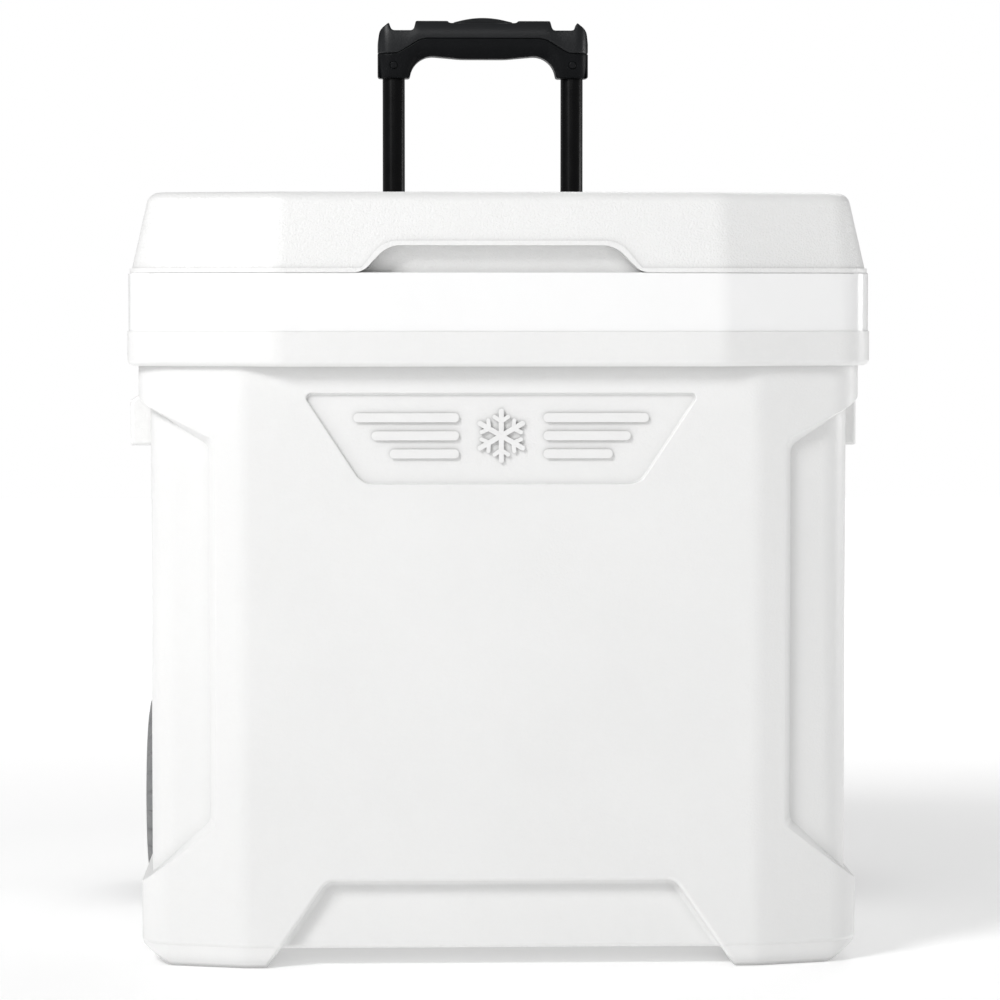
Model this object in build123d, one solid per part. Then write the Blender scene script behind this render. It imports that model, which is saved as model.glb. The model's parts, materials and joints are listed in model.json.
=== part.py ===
"""Wheeled cooler: foam-filled tub and lid, two tyred wheels and a two-stage pull handle.

Frame: millimetres, +Z up, front face towards -Y, +X to the right seen from the front.
The origin is on the ground, under the middle of the bounding box.
"""
from build123d import *
import math
import os

# ---- outer sizes -------------------------------------------------------------------------
RIM_HALF_WIDTH = 249.3
RIM_FRONT_Y = -230.0
RIM_BACK_Y = 230.0
RIM_BEND_X = 148.0          # where the flat front turns into the slanted corner face
BODY_HALF_WIDTH = 242.0
BODY_FRONT_Y = -218.0
BODY_BACK_Y = 224.0
BODY_BEND_X = 171.0
BEND_ANGLE = 16.0           # degrees between the front face and the slanted corner face
CORNER_R = 32.0
BEND_R = 40.0

# ---- heights -----------------------------------------------------------------------------
UNDERSIDE_Z = 12.0
RIM_LOW_Z = 401.0
RIM_TOP_Z = 424.0
DECK_Z = 463.0              # top of the white collar, where the lid rests
LID_TOP_Z = 516.5

# ---- walls and gaps ----------------------------------------------------------------------
WALL = 3.0
LINER_WALL = 2.5
FOAM_GAP = 0.15
SLIDE_GAP = 0.3             # radial gap between parts that telescope
PIN_GAP = 0.05              # radial gap of a running pin or shaft

COLLAR_HALF_WIDTH = 248.4

# ---- food tub ----------------------------------------------------------------------------
TUB_HALF_WIDTH = 194.0
TUB_FRONT_Y = -188.0
TUB_BACK_Y = 150.0
TUB_FLOOR_Z = 52.0
TUB_R = 35.0
TUB_SLOPE_Z_AT_Y0 = -40.0   # the rear of the floor rises along z = y - 40

# ---- side recess, bottom recess, badge ---------------------------------------------------
WAIST_HALF_WIDTH = 234.0
WAIST_CORNER_DEPTH = 6.3
WAIST_STEP_X = 190.0
WAIST_STEP_WIDTH = 4.0      # how far the step leans over its depth
WAIST_LEDGE_RISE = 0.75     # slope of the ledges along the side, seen from the front
WAIST_LOW_Z = 94.0
WAIST_HIGH_Z = 352.0
WAIST_SIDE_LOW_Z = 57.0
WAIST_SIDE_HIGH_Z = 376.5
LOW_BAND_HALF_WIDTH = 240.5
BOTTOM_EDGE_R = 5.0
FOOT_OUT_X = 221.0
FOOT_LENGTH = 70.0
TOE_RECESS_Z = 58.0
TOE_RECESS_TOP_X = 116.0
TOE_RECESS_LOW_X = 156.0
TOE_RECESS_DEPTH = 9.0
BADGE_TOP_Z = 383.0
BADGE_LOW_Z = 323.0
BADGE_TOP_X = 131.5
BADGE_LOW_X = 92.0
BADGE_DEPTH = 2.5
MOTIF_HEIGHT = 1.8
MOTIF_R = 18.0

# ---- side grips --------------------------------------------------------------------------
SCOOP_HALF_LENGTH = 75.0
SCOOP_OUT_X = 253.7
SCOOP_LOW_Z = 343.5
SCOOP_TOP_Z = 383.0
SCOOP_WALL = 4.0
SCOOP_POCKET_X = 222.0
SCOOP_POCKET_LOW_Z = 330.0
SCOOP_POCKET_TOP_Z = 372.0

# ---- lid ---------------------------------------------------------------------------------
LID_HALF_WIDTH = 247.5
LID_FRONT_Y = -229.5
LID_BACK_Y = 158.0
LIP_HEIGHT = 3.0
LIP_PROUD = 1.5
LID_SLOPE = 0.231           # inward lean of the lid walls, millimetres per millimetre
LID_EDGE_R = 9.0
PLUG_DEPTH = 11.0
PLUG_GAP = 5.0
NOTCH_TOP_X = 75.0
NOTCH_LOW_X = 92.0
NOTCH_TOP_Z = 481.0
NOTCH_DEPTH = 14.0

# ---- hinges ------------------------------------------------------------------------------
HINGE_X = 150.0
HINGE_Y = 166.0
HINGE_Z = 507.0
KNUCKLE_R = 7.0
HINGE_PIN_R = 3.0
HINGE_MIDDLE = 20.0         # width of the body-side knuckle
HINGE_WIDTH = 48.0

HINGE_BASE_T = 3.0
HINGE_SCREW_DX = (-17.0, 17.0)
HINGE_SCREW_Y = 172.0
HINGE_LID_SCREW_Z = 480.0
SCREW_R = 2.0

# ---- wheels ------------------------------------------------------------------------------
AXLE_Y = 156.0
AXLE_Z = 74.0
AXLE_R = 6.0
TYRE_R = 74.0
WELL_R = 82.0
WELL_X = 203.0
WELL_FOOT_Z = -20.0         # well below the underside, so the arch is open at the bottom
TYRE_IN_X = 207.0
TYRE_OUT_X = 252.5
HUB_R = 52.0
HUB_IN_X = 204.6
HUB_OUT_X = 247.6
HUB_BOSS_R = 15.0
SPOKES = 6
SLEEVE_R = 9.0
BUSH_R = 9.0
WASHER_R = 11.0
AXLE_CAP_R = 10.0
TILT_CUT = 49.0             # 45 degree relief behind the wheels, for tilting the cooler back

# ---- pull handle -------------------------------------------------------------------------
TUBE_X = 68.0
TUBE_Y = 197.0
INNER_R = 8.5
MIDDLE_R = 10.2
GUIDE_R = 12.0
TUBE_WALL = 1.2
CHANNEL_HALF_WIDTH = 92.0
CHANNEL_FRONT_Y = 183.0
CHANNEL_LOW_Z = 95.0
GUIDE_LOW_Z = 104.0
MIDDLE_LOW_Z = 110.0
MIDDLE_COLLAR_TOP_Z = 471.0
BEZEL_TOP_Z = 467.0
INNER_LOW_Z = 262.0
GRIP_LOW_Z = 613.6
GRIP_TOP_Z = 657.0
GRIP_HALF_WIDTH = 80.3
GRIP_HALF_DEPTH = 14.0
CLAMP_HEIGHTS = (101.0, 268.0)
CLAMP_SCREW_DX = 18.0
CLAMP_SCREW_R = 2.0
BUTTON_HALF_LENGTH = 23.0
GUIDE_BORE_R = MIDDLE_R + SLIDE_GAP
MIDDLE_BORE_R = INNER_R + SLIDE_GAP
INNER_BORE_R = INNER_R - TUBE_WALL
COLLAR_R = 13.2             # the small collar at the top of each middle tube
COLLAR_HEIGHT = 3.6
YOKE_LOW_Z = 640.0
YOKE_TOP_Z = 644.0
YOKE_HALF_Y = 4.5
GLIDE_R = MIDDLE_BORE_R - 0.08
GLIDE_LOW_Z = INNER_LOW_Z - 12
LOCK_Z = INNER_LOW_Z - 6
LOCK_PIN_R = 2.0
TUBE_TOP_Z = 633.0
ROD_R = 2.0
SPRING_R = 3.6
GRIP_SCREW_Z = 623.5
GRIP_SCREW_HEAD_R = 2.6
GRIP_SCREW_HEAD_T = 1.55
BRACKET_BACK_Y = TUBE_Y + GUIDE_R + 4

# ---- drain, on the right side ------------------------------------------------------------
DRAIN_Y = 10.0
DRAIN_Z = 76.0
DRAIN_R = 12.0
DRAIN_BORE_R = 8.0
DRAIN_POCKET_R = 17.8
DRAIN_POCKET_X = 223.0
DRAIN_FLANGE_R = 16.2
DRAIN_SPOUT_R = 10.5
DRAIN_SPOUT_END = DRAIN_POCKET_X + 6.6
DRAIN_CAP_R = 14.5
DRAIN_NUT_R = 17.0


# ==========================================================================================
# outline helpers
# ==========================================================================================
def rounded_face(points, radii):
    """A flat face from corner points, each corner rounded by its own radius."""
    edges = []
    count = len(points)
    starts = []
    ends = []
    middles = []
    for i in range(count):
        corner = Vector(*points[i])
        to_last = (Vector(*points[i - 1]) - corner).normalized()
        to_next = (Vector(*points[(i + 1) % count]) - corner).normalized()
        turn = math.radians(180 - to_last.get_angle(to_next))
        reach = radii[i] * math.tan(turn / 2)
        starts.append(corner + to_last * reach)
        ends.append(corner + to_next * reach)
        inward = (to_last + to_next).normalized()
        middles.append(corner + inward * radii[i] * (1 / math.cos(turn / 2) - 1))
    for i in range(count):
        if radii[i] > 0:
            edges.append(Edge.make_three_point_arc(starts[i], middles[i], ends[i]))
        edges.append(Edge.make_line(ends[i], starts[(i + 1) % count]))
    return Face(Wire(edges))


def mirrored_face(right_points, right_radii):
    """A face symmetric about X = 0, from the corners of its right half, bottom to top."""
    left_points = [(-x, z) for x, z in reversed(right_points)]
    return rounded_face(right_points + left_points, right_radii + right_radii[::-1])


def plan_outline(half_width, front_y, back_y, bend_x, corner_r, back_r, inset=0.0):
    """The cooler seen from above: flat front, two slanted corner faces, square back."""
    lean = math.tan(math.radians(BEND_ANGLE))
    bend = bend_x - inset * math.tan(math.radians(BEND_ANGLE / 2))
    front = front_y + inset
    side = half_width - inset
    right = [(side, front + (side - bend) * lean), (side, back_y - inset)]
    left = [(-x, y) for x, y in reversed(right)]
    points = [(bend, front)] + right + left + [(-bend, front)]
    corner = max(corner_r - inset, 4)
    back = max(back_r - inset, 4)
    radii = [BEND_R, corner, back, back, corner, BEND_R]
    return rounded_face(points, radii)


def rim_outline(inset=0.0):
    return plan_outline(RIM_HALF_WIDTH, RIM_FRONT_Y, RIM_BACK_Y, RIM_BEND_X, CORNER_R, 30, inset)


def body_outline(inset=0.0):
    return plan_outline(BODY_HALF_WIDTH, BODY_FRONT_Y, BODY_BACK_Y, BODY_BEND_X, 30, 30, inset)


def lid_outline(inset, back_inset, back_r=18.0):
    back_y = LID_BACK_Y + inset - back_inset
    return plan_outline(LID_HALF_WIDTH, LID_FRONT_Y, back_y, RIM_BEND_X, CORNER_R, back_r, inset)


def raise_face(face, z_low, z_high):
    """Extrude a plan outline between two heights."""
    return extrude(Pos(0, 0, z_low) * face, amount=z_high - z_low, dir=(0, 0, 1))


def front_prism(face, y_front, y_back):
    """Extrude a front-view outline (X, Z) between two depths."""
    placed = Plane.XZ.offset(-y_front) * face
    return extrude(placed, amount=y_back - y_front, dir=(0, 1, 0))


def side_prism(face, x_low, x_high):
    """Extrude a side-view outline (Y, Z) between two X positions."""
    placed = Plane.YZ.offset(x_low) * face
    return extrude(placed, amount=x_high - x_low, dir=(1, 0, 0))


def block(x_low, x_high, y_low, y_high, z_low, z_high):
    """An upright box from its limits."""
    centre = Pos((x_low + x_high) / 2, (y_low + y_high) / 2, (z_low + z_high) / 2)
    return centre * Box(x_high - x_low, y_high - y_low, z_high - z_low)


def rod_z(x, y, radius, z_low, z_high):
    """An upright cylinder."""
    return Pos(x, y, (z_low + z_high) / 2) * Cylinder(radius, z_high - z_low)


def rod_x(y, z, radius, x_low, x_high):
    """A cylinder along X."""
    place = Pos((x_low + x_high) / 2, y, z) * Rot(0, 90, 0)
    return place * Cylinder(radius, x_high - x_low)


def rod_y(x, z, radius, y_low, y_high):
    """A cylinder along Y."""
    place = Pos(x, (y_low + y_high) / 2, z) * Rot(90, 0, 0)
    return place * Cylinder(radius, y_high - y_low)


def other_side(shape):
    """The same piece on the other side of X = 0."""
    return mirror(shape, about=Plane.YZ)


# ==========================================================================================
# body
# ==========================================================================================
def waist_cuts(grow):
    """What the shallow recess takes off the right front corner, and off the right side."""
    lean = math.radians(BEND_ANGLE)
    far_x = WAIST_HALF_WIDTH + 40
    far_drop = 40 * WAIST_LEDGE_RISE

    def outline(depth, across):
        """The recess seen from the front; its step moves outwards as it gets deeper."""
        step = WAIST_STEP_X + depth * WAIST_STEP_WIDTH / WAIST_CORNER_DEPTH
        inwards = step - WAIST_STEP_X
        points = [(step - grow, WAIST_LOW_Z + inwards - grow),
                  (WAIST_HALF_WIDTH - grow, WAIST_SIDE_LOW_Z + 3 - grow),
                  (far_x, WAIST_SIDE_LOW_Z + 3 - grow - far_drop),
                  (far_x, WAIST_SIDE_HIGH_Z - 3 + grow + far_drop),
                  (WAIST_HALF_WIDTH - grow, WAIST_SIDE_HIGH_Z - 3 + grow),
                  (step - grow, WAIST_HIGH_Z - inwards + grow)]
        return rounded_face([(across(x), z) for x, z in points], [8, 6, 0, 0, 6, 8])

    corner_face = Plane(origin=(BODY_BEND_X, BODY_FRONT_Y, 0),
                        x_dir=(math.cos(lean), math.sin(lean), 0),
                        z_dir=(math.sin(lean), -math.cos(lean), 0))
    slices = []
    for depth in (1.5 * WAIST_CORNER_DEPTH, -WAIST_CORNER_DEPTH):
        moved = BODY_BEND_X - depth * math.sin(lean)
        face = outline(depth, lambda x: (x - moved) / math.cos(lean))
        slices.append(corner_face.offset(-depth) * face)
    slanted = loft(slices, ruled=True)
    face = outline(WAIST_CORNER_DEPTH, lambda x: x)
    straight = front_prism(face, BODY_FRONT_Y - 10, BODY_BACK_Y + 10)
    waist = plan_outline(WAIST_HALF_WIDTH, BODY_FRONT_Y + WAIST_CORNER_DEPTH, BODY_BACK_Y + 20,
                         BODY_BEND_X, 26, 4, grow)
    kept = raise_face(waist, UNDERSIDE_Z, RIM_LOW_Z)
    return [slanted - kept, straight - kept]


def toe_recess(grow):
    """The shallow trapezoid at the bottom of the front face, between the feet."""
    slope = (TOE_RECESS_LOW_X - TOE_RECESS_TOP_X) / TOE_RECESS_Z
    face = mirrored_face([(TOE_RECESS_LOW_X + 20 * slope + grow, -20),
                          (TOE_RECESS_TOP_X + grow, TOE_RECESS_Z + grow)], [0, 10])
    return front_prism(face, BODY_FRONT_Y - 10, BODY_FRONT_Y + TOE_RECESS_DEPTH + grow)


def badge_face(grow):
    return mirrored_face([(BADGE_LOW_X + grow, BADGE_LOW_Z - grow),
                          (BADGE_TOP_X + grow, BADGE_TOP_Z + grow)], [14, 3])


def badge_cut(grow):
    return front_prism(badge_face(0.6 * grow), BODY_FRONT_Y - 1, BODY_FRONT_Y + BADGE_DEPTH + grow)


def tilt_cut(grow):
    """The slanted relief along the rear bottom edge."""
    reach = TILT_CUT + grow * math.tan(math.radians(22.5))
    y = BODY_BACK_Y - grow
    z = UNDERSIDE_Z + grow
    points = [(y + 20, z + reach + 20), (y + 20, z - 30), (y - reach - 30, z - 30)]
    return side_prism(rounded_face(points, [0] * 3), -300, 300)


def channel_cut(grow):
    """The open channel in the back for the handle tubes."""
    half = CHANNEL_HALF_WIDTH + grow
    return block(-half, half, CHANNEL_FRONT_Y - grow, BODY_BACK_Y + 20,
                 CHANNEL_LOW_Z - grow, RIM_TOP_Z + 1)


def well_cut(grow):
    """The right wheel well: an arch over the wheel, straight down at its front."""
    r = WELL_R + grow
    front, back = AXLE_Y - r, AXLE_Y + r
    arch = ThreePointArc((front, AXLE_Z), (AXLE_Y, AXLE_Z + r), (back, AXLE_Z))
    legs = Polyline((back, AXLE_Z), (back, WELL_FOOT_Z), (front, WELL_FOOT_Z), (front, AXLE_Z))
    outline = Plane.YZ.offset(WELL_X - grow) * make_face([*arch.edges(), *legs.edges()])
    return extrude(outline, amount=BODY_HALF_WIDTH + 30 - WELL_X + grow, dir=(1, 0, 0))


def scoop_pocket(grow):
    """The finger pocket under the right side grip."""
    points = [(SCOOP_POCKET_X - grow, SCOOP_POCKET_LOW_Z + 5),
              (WAIST_HALF_WIDTH - 1, SCOOP_POCKET_LOW_Z - grow),
              (SCOOP_OUT_X - SCOOP_WALL, SCOOP_POCKET_LOW_Z - grow),
              (SCOOP_OUT_X - SCOOP_WALL, SCOOP_POCKET_TOP_Z - 6 + grow),
              (SCOOP_OUT_X - SCOOP_WALL - 8, SCOOP_POCKET_TOP_Z + grow),
              (SCOOP_POCKET_X - grow, SCOOP_POCKET_TOP_Z + grow)]
    half = SCOOP_HALF_LENGTH - 7 + grow
    return front_prism(rounded_face(points, [4, 3, 0, 3, 3, 8]), -half, half)


def scoop_flap():
    """The moulded right side grip, hanging over its pocket."""
    points = [(SCOOP_POCKET_X - WALL, SCOOP_LOW_Z), (SCOOP_OUT_X, SCOOP_LOW_Z),
              (SCOOP_OUT_X, SCOOP_TOP_Z - 8), (BODY_HALF_WIDTH, SCOOP_TOP_Z),
              (SCOOP_POCKET_X - WALL, SCOOP_TOP_Z)]
    flap = front_prism(rounded_face(points, [0, 1.5, 3, 3, 0]),
                       -SCOOP_HALF_LENGTH, SCOOP_HALF_LENGTH)
    ends = [edge for edge in edges_within(flap, x=(BODY_HALF_WIDTH - 6, 300))
            if abs(abs(edge.center().Y) - SCOOP_HALF_LENGTH) < 0.1]
    return fillet(ends, 3.0)


def drain_pocket(grow):
    """The round pocket in the right side that the drain cap sits in."""
    return rod_x(DRAIN_Y, DRAIN_Z, DRAIN_POCKET_R + grow, DRAIN_POCKET_X - grow, 280)


def body_form(grow, z_top):
    """The moulded body below the rim. grow > 0 gives the same form, that much further in."""
    form = raise_face(body_outline(grow), UNDERSIDE_Z + grow, z_top)
    form -= toe_recess(grow)
    form -= tilt_cut(grow)
    form -= channel_cut(grow)
    form -= badge_cut(grow)
    form -= drain_pocket(grow)
    for cut in (*waist_cuts(grow), well_cut(grow), scoop_pocket(grow)):
        form -= cut
        form -= other_side(cut)
    return form


def edges_within(shape, x=(-999, 999), y=(-999, 999), z=(-999, 999)):
    """The shape's edges that lie wholly between these limits."""
    found = []
    for edge in shape.edges():
        box = edge.bounding_box()
        inside = (x[0] <= box.min.X and box.max.X <= x[1] and y[0] <= box.min.Y
                  and box.max.Y <= y[1] and z[0] <= box.min.Z and box.max.Z <= z[1])
        if inside:
            found.append(edge)
    return found


def waist_mouth(skin):
    """The edges where the side recesses open through the body's outline."""
    outline = body_outline(0).outer_wire()
    mouth = []
    for edge in edges_within(skin, z=(WAIST_SIDE_LOW_Z - 8, WAIST_SIDE_HIGH_Z + 8)):
        spots = [edge.position_at(share / 4) for share in range(5)]
        gaps = [outline.distance_to(Vertex(spot.X, spot.Y, 0)) for spot in spots]
        if max(gaps) < 0.02 and min(abs(spot.X) for spot in spots) > WAIST_STEP_X - 2:
            mouth.append(edge)
    return mouth


def outer_skin():
    """The outside of the body below the rim: body_form(0), with its edges rounded on the way."""
    skin = raise_face(body_outline(), UNDERSIDE_Z, RIM_TOP_Z)
    skin = fillet(skin.faces().sort_by(Axis.Z)[0].edges(), BOTTOM_EDGE_R)
    front = (BODY_FRONT_Y - 0.1, BODY_FRONT_Y + 0.1)

    recess = toe_recess(0)
    skin -= fillet(recess.faces().sort_by(Axis.Y)[-1].edges(), 4.0)
    wide = TOE_RECESS_LOW_X + 4
    skin = fillet(edges_within(skin, (-wide, wide), front, (UNDERSIDE_Z + 4, TOE_RECESS_Z + 2)), 3.0)

    for cut in waist_cuts(0):
        skin -= cut
        skin -= other_side(cut)
    skin = fillet(waist_mouth(skin), 1.5)

    skin -= tilt_cut(0)
    long_edges = [edge for edge in edges_within(skin, y=(150, 300), z=(0, UNDERSIDE_Z + TILT_CUT + 20))
                  if edge.length > 300]
    skin = fillet(long_edges, 6.0)

    for cut in (well_cut(0), scoop_pocket(0)):
        skin -= cut
        skin -= other_side(cut)

    skin -= channel_cut(0)
    half = CHANNEL_HALF_WIDTH + 0.5
    back = (BODY_BACK_Y - 0.1, BODY_BACK_Y + 0.1)
    skin = fillet(edges_within(skin, (-half, half), back, (CHANNEL_LOW_Z - 0.5, RIM_TOP_Z + 1)), 3.0)

    badge = badge_cut(0)
    skin -= fillet(badge.faces().sort_by(Axis.Y)[-1].edges(), 1.2)
    wide = BADGE_TOP_X + 4
    skin = fillet(edges_within(skin, (-wide, wide), front, (BADGE_LOW_Z - 3, BADGE_TOP_Z + 3)), 1.2)
    return skin - drain_pocket(0)


def front_foot():
    """The right front foot, a stub that carries the cooler level with the wheels."""
    slope = (TOE_RECESS_LOW_X - TOE_RECESS_TOP_X) / TOE_RECESS_Z
    z_top = UNDERSIDE_Z + BOTTOM_EDGE_R + 0.5
    flare = (LOW_BAND_HALF_WIDTH - FOOT_OUT_X) / (UNDERSIDE_Z + 0.5)
    points = [(TOE_RECESS_LOW_X - z_top * slope, z_top), (TOE_RECESS_LOW_X, 0),
              (FOOT_OUT_X, 0), (FOOT_OUT_X + z_top * flare, z_top)]
    outline = rounded_face(points, [0, 3, 12, 0])
    wedge = front_prism(outline, BODY_FRONT_Y - 5, BODY_FRONT_Y + FOOT_LENGTH)
    foot = wedge & raise_face(body_outline(1.0), -1, z_top + 1)
    return fillet(edges_within(foot, z=(-1, UNDERSIDE_Z - 0.1)), 3.0)


def snowflake():
    """Front-view outline pieces of a plain six-arm snowflake."""
    bar = 3.4
    pieces = Sketch()
    for arm in range(6):
        turn = Rot(0, 0, 60 * arm)
        pieces += turn * Pos(0, MOTIF_R / 2) * RectangleRounded(bar, MOTIF_R, bar / 2 - 0.1)
        for side in (-1, 1):
            twig = Pos(0, MOTIF_R * 0.52) * Rot(0, 0, 55 * side) * Pos(0, MOTIF_R * 0.17)
            pieces += turn * twig * RectangleRounded(bar * 0.8, MOTIF_R * 0.42, bar * 0.38)
    return pieces


def badge_motif():
    """A raised snowflake between two sets of three bars, a generic decoration."""
    middle_z = (BADGE_TOP_Z + BADGE_LOW_Z) / 2 + 2
    y_back = BODY_FRONT_Y + BADGE_DEPTH + 0.5
    y_front = BODY_FRONT_Y + BADGE_DEPTH - MOTIF_HEIGHT
    motif = front_prism(Pos(0, middle_z) * snowflake(), y_front, y_back)
    for row in range(3):
        length = 70 - 12 * row
        for side in (-1, 1):
            bar = Pos(side * (28 + length / 2), middle_z + 12 - 12 * row)
            motif += front_prism(bar * RectangleRounded(length, 6, 2.9), y_front, y_back)
    return motif


def make_outer_shell():
    shell = outer_skin()
    rim = raise_face(rim_outline(), RIM_LOW_Z, RIM_TOP_Z)
    rim_low_edges = rim.faces().sort_by(Axis.Z)[0].edges()
    rim = fillet(rim_low_edges, 4.0)
    shell += rim - channel_cut(0)
    for half in (scoop_flap() - scoop_pocket(0), front_foot()):
        shell += half
        shell += other_side(half)
    low_band = block(LOW_BAND_HALF_WIDTH, BODY_HALF_WIDTH + 9, -300, 300, -1, WAIST_SIDE_LOW_Z)
    shell -= low_band
    shell -= other_side(low_band)
    shell += badge_motif()
    shell -= body_form(WALL, RIM_TOP_Z + 1)
    shell -= rod_x(AXLE_Y, AXLE_Z, AXLE_R + PIN_GAP, -260, 260)
    shell -= rod_x(DRAIN_Y, DRAIN_Z, DRAIN_R + PIN_GAP, 200, 260)
    for x in (-TUBE_X, TUBE_X):
        for z in CLAMP_HEIGHTS:
            for dx in (-CLAMP_SCREW_DX, CLAMP_SCREW_DX):
                shell -= rod_y(x + dx, z, CLAMP_SCREW_R + PIN_GAP,
                               CHANNEL_FRONT_Y - 4, CHANNEL_FRONT_Y + 1)
    return shell


# ==========================================================================================
# tub and insulation
# ==========================================================================================
def tub_form(grow, z_top):
    """The inside of the food tub, or that form grown outwards."""
    half = TUB_HALF_WIDTH + grow
    points = [(-half, TUB_FRONT_Y - grow), (half, TUB_FRONT_Y - grow),
              (half, TUB_BACK_Y + grow), (-half, TUB_BACK_Y + grow)]
    form = raise_face(rounded_face(points, [TUB_R + grow] * 4), TUB_FLOOR_Z - grow, z_top)
    rise = TUB_SLOPE_Z_AT_Y0 - grow * math.sqrt(2)
    slope = [(20, 20 + rise), (260, 20 + rise), (260, 260 + rise)]
    return form - side_prism(rounded_face(slope, [0] * 3), -260, 260)


def deck_holes():
    """Holes through the rear deck for the two guide tubes and the hinge screws."""
    holes = []
    for side in (-1, 1):
        holes.append(rod_z(side * TUBE_X, TUBE_Y, GUIDE_R + FOAM_GAP, DECK_Z - 10, DECK_Z + 1))
        for dx in HINGE_SCREW_DX:
            x = side * HINGE_X + dx
            holes.append(rod_z(x, HINGE_SCREW_Y, SCREW_R + PIN_GAP, DECK_Z - 15, DECK_Z + 1))
    return holes


def make_inner_liner():
    """The white one-piece tub with its rear deck and the collar around the top."""
    collar_inset = RIM_HALF_WIDTH - COLLAR_HALF_WIDTH
    collar = raise_face(rim_outline(collar_inset), RIM_TOP_Z, DECK_Z)
    collar = fillet(collar.faces().sort_by(Axis.Z)[-1].edges(), 1.0)
    collar -= raise_face(rim_outline(collar_inset + LINER_WALL), RIM_TOP_Z - 1, DECK_Z - LINER_WALL)
    liner = collar + tub_form(LINER_WALL, DECK_Z - 0.5) - tub_form(0, DECK_Z + 1)
    for hole in deck_holes():
        liner -= hole
    return liner - rod_x(DRAIN_Y, DRAIN_Z, DRAIN_R + PIN_GAP, 180, 210)


def make_insulation():
    """The foam that fills the whole space between the shell and the tub."""
    gap = WALL + FOAM_GAP
    foam = body_form(gap, RIM_TOP_Z + FOAM_GAP)
    collar_inset = RIM_HALF_WIDTH - COLLAR_HALF_WIDTH + LINER_WALL + FOAM_GAP
    foam += raise_face(rim_outline(collar_inset), RIM_TOP_Z + FOAM_GAP,
                       DECK_Z - LINER_WALL - FOAM_GAP)
    channel_half = CHANNEL_HALF_WIDTH + gap
    foam -= block(-channel_half, channel_half, CHANNEL_FRONT_Y - gap, RIM_BACK_Y + 5,
                  CHANNEL_LOW_Z - gap, DECK_Z)
    foam -= tub_form(LINER_WALL + FOAM_GAP, DECK_Z)
    foam -= rod_x(AXLE_Y, AXLE_Z, SLEEVE_R + FOAM_GAP, -260, 260)
    foam -= rod_x(DRAIN_Y, DRAIN_Z, DRAIN_R + FOAM_GAP, 180, 260)
    for side in (-1, 1):
        for dx in HINGE_SCREW_DX:
            x = side * HINGE_X + dx
            foam -= rod_z(x, HINGE_SCREW_Y, SCREW_R + FOAM_GAP, DECK_Z - 20, DECK_Z)
        for z in CLAMP_HEIGHTS:
            for dx in (-CLAMP_SCREW_DX, CLAMP_SCREW_DX):
                foam -= rod_y(side * TUBE_X + dx, z, CLAMP_SCREW_R + FOAM_GAP,
                              CHANNEL_FRONT_Y - 18, CHANNEL_FRONT_Y)
    return foam


# ==========================================================================================
# lid
# ==========================================================================================
def lid_form(inset, z_low, z_high):
    """The lid between two heights: front and sides lean inwards, the back is upright."""
    faces = []
    for z in (z_low, z_high):
        lean = LIP_PROUD + LID_SLOPE * (z - DECK_Z - LIP_HEIGHT)
        faces.append(Pos(0, 0, z) * lid_outline(inset + lean, inset))
    return loft(faces, ruled=True)


def notch_cut(grow):
    """The finger notch in the middle of the lid's front edge."""
    face = mirrored_face([(NOTCH_LOW_X + 24, DECK_Z - 20), (NOTCH_LOW_X + 24, DECK_Z),
                          (NOTCH_LOW_X + grow, DECK_Z), (NOTCH_TOP_X + grow, NOTCH_TOP_Z + grow)],
                         [0, 0, 13, 20])
    return front_prism(face, LID_FRONT_Y - 10, LID_FRONT_Y + NOTCH_DEPTH + grow)


def plug_block(grow, z_low, z_high):
    """The raised middle of the lid's underside, which drops into the tub."""
    half = TUB_HALF_WIDTH - PLUG_GAP + grow
    front = TUB_FRONT_Y + PLUG_GAP - grow
    back = TUB_BACK_Y - PLUG_GAP + grow
    points = [(-half, front), (half, front), (half, back), (-half, back)]
    return raise_face(rounded_face(points, [TUB_R - PLUG_GAP + grow] * 4), z_low, z_high)


def make_lid_cover():
    cover = lid_form(0, DECK_Z + LIP_HEIGHT, LID_TOP_Z)
    cover = fillet(cover.faces().sort_by(Axis.Z)[-1].edges(), LID_EDGE_R)
    cover += raise_face(lid_outline(0, 0, 12.0), DECK_Z, DECK_Z + LIP_HEIGHT)
    cavity = lid_form(WALL, DECK_Z, LID_TOP_Z - WALL * 1.5)
    cover -= cavity - notch_cut(WALL)
    bead = lid_form(-LIP_PROUD, DECK_Z, LID_TOP_Z) & (notch_cut(LIP_HEIGHT) - notch_cut(0))
    bead &= block(-200, 200, LID_FRONT_Y, LID_FRONT_Y + NOTCH_DEPTH, DECK_Z, LID_TOP_Z)
    cover += bead
    cover -= notch_cut(0)
    for side in (-1, 1):
        for dx in HINGE_SCREW_DX:
            cover -= rod_y(side * HINGE_X + dx, HINGE_LID_SCREW_Z, SCREW_R + PIN_GAP,
                           LID_BACK_Y - 10, LID_BACK_Y + 1)
    return cover


def make_lid_liner():
    """The white inner panel of the lid, a shallow tray with its plug pointing down."""
    inset = WALL + LIP_PROUD + FOAM_GAP
    panel = raise_face(lid_outline(inset, WALL + FOAM_GAP), DECK_Z, DECK_Z + LINER_WALL)
    panel -= notch_cut(WALL + FOAM_GAP)
    plug = plug_block(0, DECK_Z - PLUG_DEPTH, DECK_Z + LINER_WALL)
    plug = fillet(plug.faces().sort_by(Axis.Z)[0].edges(), 3.0)
    panel += plug
    return panel - plug_block(-LINER_WALL, DECK_Z - PLUG_DEPTH + LINER_WALL, LID_TOP_Z)


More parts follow.
